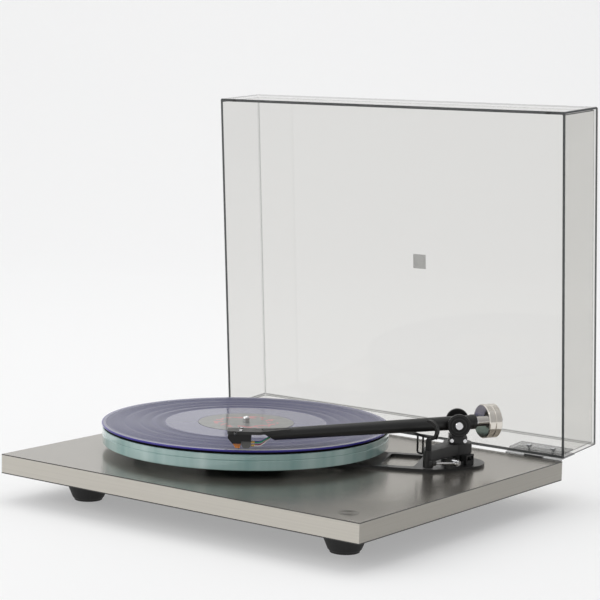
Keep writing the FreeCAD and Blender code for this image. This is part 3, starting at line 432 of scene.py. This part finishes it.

# %% [markdown]
# ## The glass platter
# The platter is two layers of float glass. Seen from above it is nearly clear,
# but its polished edge gathers the green of the iron in the glass, and the
# light that runs round inside it shows as soft upright streaks. The green is
# the glass's own colour, and the lighter and darker streaks are painted light.


# %% Glass with a green edge
def around(tree, centre):
    """Distance from the platter's axis, and a vector that turns with it."""
    place = tree.nodes.new("ShaderNodeTexCoord").outputs["Object"]
    move = tree.nodes.new("ShaderNodeMapping")
    move.inputs["Location"].default_value = (-centre.x, -centre.y, 0)
    tree.links.new(place, move.inputs["Vector"])
    flat = tree.nodes.new("ShaderNodeVectorMath")
    flat.operation = "MULTIPLY"
    flat.inputs[1].default_value = (1, 1, 0)
    tree.links.new(move.outputs[0], flat.inputs[0])
    reach = tree.nodes.new("ShaderNodeVectorMath")
    reach.operation = "LENGTH"
    tree.links.new(flat.outputs[0], reach.inputs[0])
    return reach.outputs["Value"], flat.outputs[0]


def glass():
    mat, shader = blank("platter_glass", Roughness=0.06, IOR=1.5, Transmission_Weight=0.3,
                        Coat_Weight=0.6, Coat_Roughness=0.03)
    tree = mat.node_tree
    spot = around(tree, spindle)[1]
    # Upright streaks of lighter and darker green are painted light, standing in for the light that runs
    # round inside the glass. The green itself is the glass's own colour.
    streaks = add(tree, "ShaderNodeTexNoise", Scale=38.0, Detail=2.0)
    tree.links.new(spot, streaks.inputs["Vector"])
    ramp = tree.nodes.new("ShaderNodeValToRGB")
    ramp.color_ramp.elements[0].position = 0.35
    ramp.color_ramp.elements[0].color = (0.32, 0.53, 0.51, 1)
    ramp.color_ramp.elements[1].position = 0.68
    ramp.color_ramp.elements[1].color = (0.60, 0.79, 0.76, 1)
    tree.links.new(streaks.outputs["Fac"], ramp.inputs[0])
    tree.links.new(ramp.outputs[0], shader.inputs["Base Color"])
    return mat


platter_glass = glass()
wear("platter_disc", platter_glass)
wear("platter_ring", platter_glass)
felt = grained("black_felt", (0.004, 0.004, 0.005), 0.95, 0.7, 0.3, 0.3, Specular_IOR_Level=0.1)

# %% [markdown]
# ## The record
# A record is pressed, not cut: a raised rim, bands of fine groove with smooth
# gaps between the tracks, and a smooth run-out before the label. The disc is a
# lathe shape, so one profile is spun round the spindle. The bands are rings
# at changing distances, which a small Geometry Nodes tree lays down. Under it
# lies a round sheet of black felt, made by the same spin.

# %% Spinning a profile
SEGMENTS = 192


def hang(name, mesh, mat, body):
    """Make a finished mesh into a piece that rides on a body."""
    piece = bpy.data.objects.new(name, mesh)
    bpy.context.scene.collection.objects.link(piece)
    if mat is not None:
        mesh.materials.clear()
        mesh.materials.append(mat)
    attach(piece, body)
    return piece


def spun(name, profile, centre, segments=SEGMENTS, closed=True):
    """Spin (radius, height) points about the upright line through centre."""
    mesh = bpy.data.meshes.new(name)
    verts, faces = [], []
    for i in range(segments):
        a = 2 * math.pi * i / segments
        for r, z in profile:
            verts.append((centre.x + r * math.cos(a), centre.y + r * math.sin(a), z))
    count = len(profile)
    for i in range(segments):
        j = (i + 1) % segments
        for k in range(count if closed else count - 1):
            m = (k + 1) % count
            faces.append((i * count + k, j * count + k, j * count + m, i * count + m))
    mesh.from_pydata(verts, [], faces)
    mesh.validate()
    shape = bmesh.new()
    shape.from_mesh(mesh)
    bmesh.ops.recalc_face_normals(shape, faces=shape.faces)
    shape.to_mesh(mesh)
    shape.free()
    mesh.polygons.foreach_set("use_smooth", [True] * len(mesh.polygons))
    return mesh


# %% The felt under the record
felt_low, felt_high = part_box("felt_mat")
FELT_R = (felt_high.x - felt_low.x) / 2
FELT_HOLE_R = 4.65 * MM
NAP = 0.25 * MM


def felt_sheet():
    """A round sheet with softened edges, laid flat on the glass."""
    low, high = felt_low.z, felt_high.z
    profile = [(FELT_HOLE_R, low), (FELT_HOLE_R, high - NAP), (FELT_HOLE_R + NAP, high),
               (FELT_R - NAP, high), (FELT_R, high - NAP), (FELT_R, low + NAP), (FELT_R - NAP, low)]
    return spun("felt_sheet", profile, spindle)


felt_piece = hang("felt_sheet", felt_sheet(), felt, "platter")
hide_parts("felt_mat")
print("felt", round(2 * FELT_R / MM, 1), "mm across")

# %% The pressed disc
record_low, record_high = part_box("record")
RECORD_R = (record_high.x - record_low.x) / 2
LABEL_R = (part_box("record_label")[1].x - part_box("record_label")[0].x) / 2
HOLE_R = 3.65 * MM
RIM_BEAD = 1.6 * MM
FACE_DROP = 0.12 * MM
LABEL_DROP = 0.25 * MM
RUN_OUT_R = 83.5 * MM
GAPS = tuple(r * MM for r in (144.0, 126.5, 110.5, 98.5, 84.0))
GAP_SLOPE, GAP_FLAT, GAP_DEPTH = 0.3 * MM, 0.6 * MM, 0.06 * MM
EDGE_ROUND, EDGE_FLAT = 0.7 * MM, 0.8 * MM


def record_profile():
    """From the hole out over the top, round the rim and back underneath."""
    top, low = record_high.z, record_low.z
    face = top - FACE_DROP
    seat = top - LABEL_DROP
    points = [(HOLE_R, low), (HOLE_R, seat), (LABEL_R, seat), (LABEL_R, face + 0.04 * MM),
              (LABEL_R + 1.2 * MM, face), (RUN_OUT_R, face)]
    for gap in reversed(GAPS):
        points += [(gap, face), (gap + GAP_SLOPE, face - GAP_DEPTH),
                   (gap + GAP_SLOPE + GAP_FLAT, face - GAP_DEPTH), (gap + 2 * GAP_SLOPE + GAP_FLAT, face)]
    points += [(RECORD_R - RIM_BEAD * 2, face), (RECORD_R - RIM_BEAD, top - 0.03 * MM),
               (RECORD_R - EDGE_FLAT, top)]
    steps = 8
    half = (top - low) / 2
    for i in range(1, steps):
        a = math.pi / 2 - math.pi * i / steps
        points.append((RECORD_R - EDGE_ROUND + EDGE_ROUND * math.cos(a), low + half + half * math.sin(a)))
    points += [(RECORD_R - EDGE_FLAT, low)]
    return points


disc_mesh = spun("record_disc", record_profile(), spindle, 256)


FINE_LINES, BROAD_BANDS = 1900.0, 160.0
GROOVED_FROM, GROOVED_TO = 84.5 * MM, 146.5 * MM
BEAD_W = 1.5 * MM


def vinyl():
    mat, shader = blank("blue_vinyl", Specular_IOR_Level=0.4, IOR=1.5)
    tree = mat.node_tree
    reach, spot = around(tree, spindle)
    fine = add(tree, "ShaderNodeTexNoise", noise_dimensions="1D", Scale=1.0, Detail=3.0)
    tree.links.new(maths(tree, "MULTIPLY", reach, FINE_LINES), fine.inputs["W"])
    bands = add(tree, "ShaderNodeTexNoise", noise_dimensions="1D", Scale=1.0, Detail=1.0)
    tree.links.new(maths(tree, "MULTIPLY", reach, BROAD_BANDS), bands.inputs["W"])
    grooved = maths(tree, "MULTIPLY", maths(tree, "GREATER_THAN", reach, GROOVED_FROM),
                    maths(tree, "LESS_THAN", reach, GROOVED_TO))
    tone = maths(tree, "ADD", maths(tree, "MULTIPLY", fine.outputs["Fac"], 0.55),
                 maths(tree, "MULTIPLY", bands.outputs["Fac"], 0.45))
    cut = blend_colours(tree, tone, (0.033, 0.035, 0.092), (0.10, 0.10, 0.205))
    smooth = blend_colours(tree, maths(tree, "GREATER_THAN", reach, RECORD_R - BEAD_W),
                           (0.15, 0.15, 0.235), (0.035, 0.025, 0.24))
    colour = blend_colours(tree, grooved, smooth, cut)
    tree.links.new(colour, shader.inputs["Base Color"])
    rough = maths(tree, "ADD", maths(tree, "MULTIPLY", grooved, 0.16), 0.12)
    tree.links.new(rough, shader.inputs["Roughness"])
    relief = tree.nodes.new("ShaderNodeBump")
    relief.inputs["Strength"].default_value = 0.35
    relief.inputs["Distance"].default_value = 0.03 * MM
    tree.links.new(maths(tree, "MULTIPLY", fine.outputs["Fac"], grooved), relief.inputs["Height"])
    tree.links.new(relief.outputs["Normal"], shader.inputs["Normal"])
    return mat


blue_vinyl = vinyl()
record = hang("record_disc", disc_mesh, blue_vinyl, "platter")
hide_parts("record")

# %% [markdown]
# ## The label
# The label is a disc of grey-green paper pressed into the vinyl. Its print is
# kept generic: a ring of plain red blots part of the way out from the spindle,
# cut from noise, so there is no lettering.


# %% The paper label
PRINT_FROM, PRINT_TO = 22 * MM, 34 * MM
BLOTS_ABOVE = 0.54


def label_paper():
    mat, shader = blank("label_paper", Roughness=0.5, Coat_Weight=0.7, Coat_Roughness=0.08)
    tree = mat.node_tree
    reach, spot = around(tree, spindle)
    blot = add(tree, "ShaderNodeTexNoise", Scale=70.0, Detail=4.0)
    tree.links.new(spot, blot.inputs["Vector"])
    paper = blend_colours(tree, blot.outputs["Fac"], (0.09, 0.095, 0.088), (0.21, 0.21, 0.195))
    band = maths(tree, "MULTIPLY", maths(tree, "GREATER_THAN", reach, PRINT_FROM),
                 maths(tree, "LESS_THAN", reach, PRINT_TO))
    waves = add(tree, "ShaderNodeTexNoise", Scale=120.0, Detail=1.0)
    tree.links.new(spot, waves.inputs["Vector"])
    marks = maths(tree, "MULTIPLY", band, maths(tree, "GREATER_THAN", waves.outputs["Fac"], BLOTS_ABOVE))
    colour = blend_colours(tree, maths(tree, "MULTIPLY", marks, 0.75), paper, (0.50, 0.10, 0.11))
    tree.links.new(colour, shader.inputs["Base Color"])
    relief = tree.nodes.new("ShaderNodeBump")
    relief.inputs["Strength"].default_value = 0.3
    relief.inputs["Distance"].default_value = 0.02 * MM
    tree.links.new(blot.outputs["Fac"], relief.inputs["Height"])
    tree.links.new(relief.outputs["Normal"], shader.inputs["Normal"])
    return mat


wear("record_label", label_paper())

# %% [markdown]
# ## The clear lid
# The lid is moulded acrylic with a smoky tint. Its broad walls only dim what is
# behind them a little and mirror the studio faintly. At the rim the plastic is
# seen along its own thickness, so the tint adds up to a dark line. The rounded
# corners are clear when looked at squarely and dark where they turn away. A
# copy of the working lid is sorted face by face into those three, with a fourth
# for the blank badge plate. A thin dark strip stands inside each of the two far
# corners, for the dark line that thick acrylic shows there. The working model
# has no such strips.


# %% Clear and dark acrylic
TINT_PER_FACE = (0.895, 0.892, 0.882, 1)
CORNER_TINT = (0.80, 0.80, 0.79, 1)
CORNER_CLEAR_UNTIL, CORNER_STEEPNESS = 0.3, 5.0


def clear_acrylic():
    """Tinted see-through faces with a mirror that grows at low angles."""
    mat, mirror = blank("clear_acrylic", Metallic=1.0)
    tree = mat.node_tree
    place_group(mat, mirror, GRAIN, 0.0, Size=60.0, Patch_Size=90.0, Colour=(0.93, 0.93, 0.92),
                Roughness=0.05, Colour_Change=0.03, Roughness_Change=0.04)
    through = add(tree, "ShaderNodeBsdfTransparent", Color=TINT_PER_FACE)
    share = add(tree, "ShaderNodeFresnel", IOR=1.4)
    front = maths(tree, "SUBTRACT", 1.0, tree.nodes.new("ShaderNodeNewGeometry").outputs["Backfacing"])
    mix = tree.nodes.new("ShaderNodeMixShader")
    tree.links.new(maths(tree, "MULTIPLY", share.outputs[0], front), mix.inputs[0])
    tree.links.new(through.outputs[0], mix.inputs[1])
    tree.links.new(mirror.outputs[0], mix.inputs[2])
    tree.links.new(mix.outputs[0], tree.nodes["Material Output"].inputs["Surface"])
    return mat


def edge_acrylic():
    """The rim, nearly solid grey."""
    mat, shader = blank("edge_acrylic", Alpha=0.94, Specular_IOR_Level=0.2)
    place_group(mat, shader, GRAIN, 0.0, Size=3.0, Colour=(0.045, 0.049, 0.050), Roughness=0.3)
    return mat


def corner_acrylic():
    """Clear when faced squarely, and dark where the corner turns away."""
    mat, dark = blank("corner_acrylic", Specular_IOR_Level=0.2)
    tree = mat.node_tree
    place_group(mat, dark, GRAIN, 0.0, Size=3.0, Colour=(0.05, 0.054, 0.055), Roughness=0.3)
    through = add(tree, "ShaderNodeBsdfTransparent", Color=CORNER_TINT)
    turned = add(tree, "ShaderNodeLayerWeight", Blend=0.5).outputs["Facing"]
    beyond = maths(tree, "SUBTRACT", turned, CORNER_CLEAR_UNTIL)
    mix = tree.nodes.new("ShaderNodeMixShader")
    tree.links.new(maths(tree, "MULTIPLY", beyond, CORNER_STEEPNESS, True), mix.inputs[0])
    tree.links.new(through.outputs[0], mix.inputs[1])
    tree.links.new(dark.outputs[0], mix.inputs[2])
    tree.links.new(mix.outputs[0], tree.nodes["Material Output"].inputs["Surface"])
    return mat


def badge_plate():
    mat, shader = blank("badge_plate", Metallic=0.4, Alpha=0.85)
    place_group(mat, shader, BRUSHED, 0.0, Stretch=(300, 20, 300), Light=(0.48, 0.48, 0.46),
                Dark=(0.34, 0.34, 0.33), Roughness=0.3)
    return mat


# %% The lid, sorted into walls and edges
def welded_copy(node, name):
    """A copy of a working piece with its loose triangles joined."""
    mesh = nodes[node].data.copy()
    mesh.name = name
    shape = bmesh.new()
    shape.from_mesh(mesh)
    bmesh.ops.remove_doubles(shape, verts=shape.verts, dist=0.002 * MM)
    bmesh.ops.dissolve_limit(shape, angle_limit=math.radians(0.5), verts=shape.verts, edges=shape.edges)
    bmesh.ops.triangulate(shape, faces=[face for face in shape.faces if len(face.verts) > 4])
    shape.to_mesh(mesh)
    shape.free()
    return mesh


LID_TILT = math.radians(4)
LID_AXES = (Vector((1, 0, 0)), Vector((0, math.cos(LID_TILT), math.sin(LID_TILT))),
            Vector((0, -math.sin(LID_TILT), math.cos(LID_TILT))))
LID_FRAME = Matrix(LID_AXES).transposed()
WALL, EDGE, CORNER, BADGE = range(4)
BADGE_HALF = 9 * MM
BADGE_AREA = 0.0004
BADGE_STANDS = 1.5 * MM
RIM_T = 0.3 * MM
SQUARE_ON = 0.9995
WEBS = 2
WEB_OUT, WEB_IN, WEB_END = 0.8 * MM, 2.2 * MM, 1.5 * MM


def lid_part(face, rim, outside):
    """Which of the lid's four finishes a face takes."""
    height = face.center.dot(LID_AXES[1])
    straight = max(abs(face.normal.dot(axis)) for axis in LID_AXES) > SQUARE_ON
    small = abs(face.center.x) < BADGE_HALF and face.area < BADGE_AREA
    if small and height > outside - BADGE_STANDS:
        return BADGE
    if height < rim + RIM_T:
        return EDGE
    return WALL if straight else CORNER


def add_webs(mesh):
    """Two dark strips inside the far corners, where the wall is seen through its length."""
    xs, heights, ups = ([vert.co.dot(axis) for vert in mesh.vertices] for axis in LID_AXES)
    low, high = min(ups) + WEB_END, max(ups) - WEB_END
    shape = bmesh.new()
    shape.from_mesh(mesh)
    for side, wall in ((-1, min(xs)), (1, max(xs))):
        corners = [(wall - side * inset, max(heights) - inset, up)
                   for inset, up in ((WEB_OUT, low), (WEB_OUT, high), (WEB_IN, high), (WEB_IN, low))]
        shape.faces.new([shape.verts.new(LID_FRAME @ Vector(corner)) for corner in corners])
    shape.to_mesh(mesh)
    shape.free()


def lid_mesh():
    mesh = welded_copy("dust_cover", "clear_lid")
    add_webs(mesh)
    mesh.materials.clear()
    for mat in (clear_acrylic(), edge_acrylic(), corner_acrylic(), badge_plate()):
        mesh.materials.append(mat)
    heights = [vert.co.dot(LID_AXES[1]) for vert in mesh.vertices]
    rim, outside = min(heights), max(heights)
    for face in mesh.polygons:
        face.material_index = lid_part(face, rim, outside)
    for web in mesh.polygons[-WEBS:]:
        web.material_index = EDGE
    counts = [sum(face.material_index == i for face in mesh.polygons) for i in range(4)]
    print("lid faces: walls, rim, corners, badge", counts)
    return mesh


clear_lid = hang("clear_lid", lid_mesh(), None, "lid")
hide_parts("dust_cover")
hinge_clear, hinge_shader = blank("hinge_clear", Alpha=0.4)
place_group(hinge_clear, hinge_shader, GRAIN, 0.01, Size=0.6, Colour=(0.14, 0.147, 0.147),
            Roughness=0.22)
wear("hinge_leaves", hinge_clear)
wear("hinge_inner_plates", hinge_clear)

# %% [markdown]
# ## The counterweight
# It is turned from steel and polished, so it mirrors the studio with a slight
# blur. Faint patches keep the polish from looking perfect.


# %% Turned and polished steel
def turned_weight():
    mat, shader = blank("polished_weight", Metallic=1.0)
    place_group(mat, shader, GRAIN, 0.0, Size=1.2, Colour=(0.74, 0.70, 0.64), Roughness=0.13,
                Colour_Change=0.1, Roughness_Change=0.1)
    return mat


wear("counterweight", turned_weight())

# %% [markdown]
# ## Rings
# Fine rings repeat on this turntable: the grooves of the record, the steps on
# the tracking-force dial, and the small mark in the corner of the deck. A
# Geometry Nodes tree lays them all. It takes one circle for each ring, makes
# each a little larger than the last, and gives them a thin four-sided wire.

# %% A tree that lays rings
def ring_tree():
    tree = bpy.data.node_groups.new("lay_rings", "GeometryNodeTree")
    for label, kind in (("Count", "NodeSocketInt"), ("First Radius", "NodeSocketFloat"),
                        ("Step", "NodeSocketFloat"), ("Wire Radius", "NodeSocketFloat"),
                        ("Sides", "NodeSocketInt"), ("Finish", "NodeSocketMaterial")):
        tree.interface.new_socket(name=label, in_out="INPUT", socket_type=kind)
    tree.interface.new_socket(name="Geometry", in_out="OUTPUT", socket_type="NodeSocketGeometry")
    into, out = tree.nodes.new("NodeGroupInput"), tree.nodes.new("NodeGroupOutput")
    line, circle, wire = (tree.nodes.new("GeometryNode" + kind) for kind in
                          ("MeshLine", "CurvePrimitiveCircle", "CurvePrimitiveCircle"))
    line.inputs["Offset"].default_value = (0, 0, 0)
    circle.inputs["Radius"].default_value = 1.0
    wire.inputs["Resolution"].default_value = 4
    index = tree.nodes.new("GeometryNodeInputIndex")
    put, loose, sweep_wire, real, finish = (tree.nodes.new("GeometryNode" + kind) for kind in
                                            ("InstanceOnPoints", "RealizeInstances", "CurveToMesh",
                                             "RealizeInstances", "SetMaterial"))
    radius = maths(tree, "ADD", maths(tree, "MULTIPLY", index.outputs[0], into.outputs["Step"]),
                   into.outputs["First Radius"])
    link = tree.links.new
    link(into.outputs["Count"], line.inputs["Count"])
    link(into.outputs["Sides"], circle.inputs["Resolution"])
    link(into.outputs["Wire Radius"], wire.inputs["Radius"])
    link(line.outputs[0], put.inputs["Points"])
    link(circle.outputs[0], put.inputs["Instance"])
    link(radius, put.inputs["Scale"])
    link(put.outputs[0], loose.inputs[0])
    link(loose.outputs[0], sweep_wire.inputs["Curve"])
    link(wire.outputs[0], sweep_wire.inputs["Profile Curve"])
    link(sweep_wire.outputs[0], real.inputs[0])
    link(real.outputs[0], finish.inputs["Geometry"])
    link(into.outputs["Finish"], finish.inputs["Material"])
    link(finish.outputs[0], out.inputs[0])
    return tree


RINGS = ring_tree()


def grow(name, tree, place, **values):
    """Run a tree and keep its result as a plain mesh, put where place says."""
    holder = bpy.data.objects.new(name + "_holder", bpy.data.meshes.new(name + "_holder"))
    bpy.context.scene.collection.objects.link(holder)
    modifier = holder.modifiers.new("grow", "NODES")
    modifier.node_group = tree
    for item in tree.interface.items_tree:
        key = item.name.replace(" ", "_")
        if item.item_type == "SOCKET" and item.in_out == "INPUT" and key in values:
            modifier[item.identifier] = values[key]
    bpy.context.view_layer.update()
    ready = holder.evaluated_get(bpy.context.evaluated_depsgraph_get())
    mesh = bpy.data.meshes.new_from_object(ready)
    mesh.name = name
    holder.modifiers.remove(modifier)
    bpy.data.objects.remove(holder)
    mesh.transform(place)
    return mesh


def lay_rings(name, place, mat, body, count, first, step, wire, sides=128):
    mesh = grow(name, RINGS, place, Count=count, First_Radius=first, Step=step, Wire_Radius=wire,
                Sides=sides, Finish=mat)
    piece = hang(name, mesh, mat, body)
    print(name, "has", count, "rings and", len(mesh.polygons), "faces")
    return piece


# %% Grooves of the record
groove_height = record_high.z - FACE_DROP
groove_place = Matrix.Translation((spindle.x, spindle.y, groove_height))
GROOVE_BANDS = ((86.6, 7), (100.8, 7), (113.2, 9), (129.2, 10))
GROOVE_STEP, GROOVE_WIRE = 1.4 * MM, 0.07 * MM
for number, (first, count) in enumerate(GROOVE_BANDS, 1):
    lay_rings(f"groove_band_{number}", groove_place, blue_vinyl, "platter", count, first * MM,
              GROOVE_STEP, GROOVE_WIRE, 160)

# %% The mark on the deck and the steps of the dial
engraved = grained("engraved_line", (0.06, 0.06, 0.055), 0.5, 0.4, 0.0)
MARK_IN = 30.0 * MM, 25.55 * MM
mark_place = Matrix.Translation((deck_high.x - MARK_IN[0], deck_low.y + MARK_IN[1], deck_z))
lay_rings("deck_mark", mark_place, engraved, "base", 3, 4 * MM, 2.6 * MM, 0.22 * MM, 64)

dial_joint = next(j for j in frame["record"]["behaviour"]["joints"] if j["name"] == "force_dial_turn")
dial_axis = Vector(dial_joint["axis"]).normalized()
dial_low, dial_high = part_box("force_dial")
DIAL_HALF_T = 2.0 * MM
dial_face = (dial_low + dial_high) / 2 + dial_axis * DIAL_HALF_T
dial_place = Matrix.Translation(dial_face) @ dial_axis.to_track_quat("Z", "Y").to_matrix().to_4x4()
dial_line = grained("dial_line", (0.05, 0.05, 0.05), 0.3, 0.4, 0.0)
lay_rings("dial_steps", dial_place, dial_line, "dial", 2, 7.2 * MM, 3.0 * MM,
          0.16 * MM, 64)

# %% [markdown]
# ## The cartridge leads
# Four thin wires, one colour for each channel and earth, run from the gold
# pins into the open end of the arm tube. Their run is already in the working
# model, so each loose tube of a copy takes its own colour.

# %% Four coloured wires
LEAD_COLOURS = {"lead_red": (0.62, 0.03, 0.05), "lead_green": (0.03, 0.38, 0.12),
                "lead_white": (0.78, 0.76, 0.72), "lead_blue": (0.05, 0.12, 0.50)}


def loose_parts(mesh):
    """Lists of face numbers, one for each separate shell."""
    shape = bmesh.new()
    shape.from_mesh(mesh)
    left = set(shape.faces)
    parts = []
    while left:
        start = left.pop()
        part, edge = {start}, [start]
        while edge:
            for side in edge.pop().edges:
                for face in side.link_faces:
                    if face in left:
                        left.discard(face)
                        part.add(face)
                        edge.append(face)
        parts.append(sorted(face.index for face in part))
    shape.free()
    return sorted(parts)


leads_mesh = welded_copy("cartridge_leads", "lead_wires")
leads_mesh.materials.clear()
for name, colour in LEAD_COLOURS.items():
    leads_mesh.materials.append(grained(name, colour, 0.4, 0.5, 0.0, Specular_IOR_Level=0.5))
lead_parts = loose_parts(leads_mesh)
for number, part in enumerate(lead_parts):
    for index in part:
        leads_mesh.polygons[index].material_index = number % len(LEAD_COLOURS)
leads = hang("lead_wires", leads_mesh, None, "arm")
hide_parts("cartridge_leads")
print("leads:", len(lead_parts), "wires")
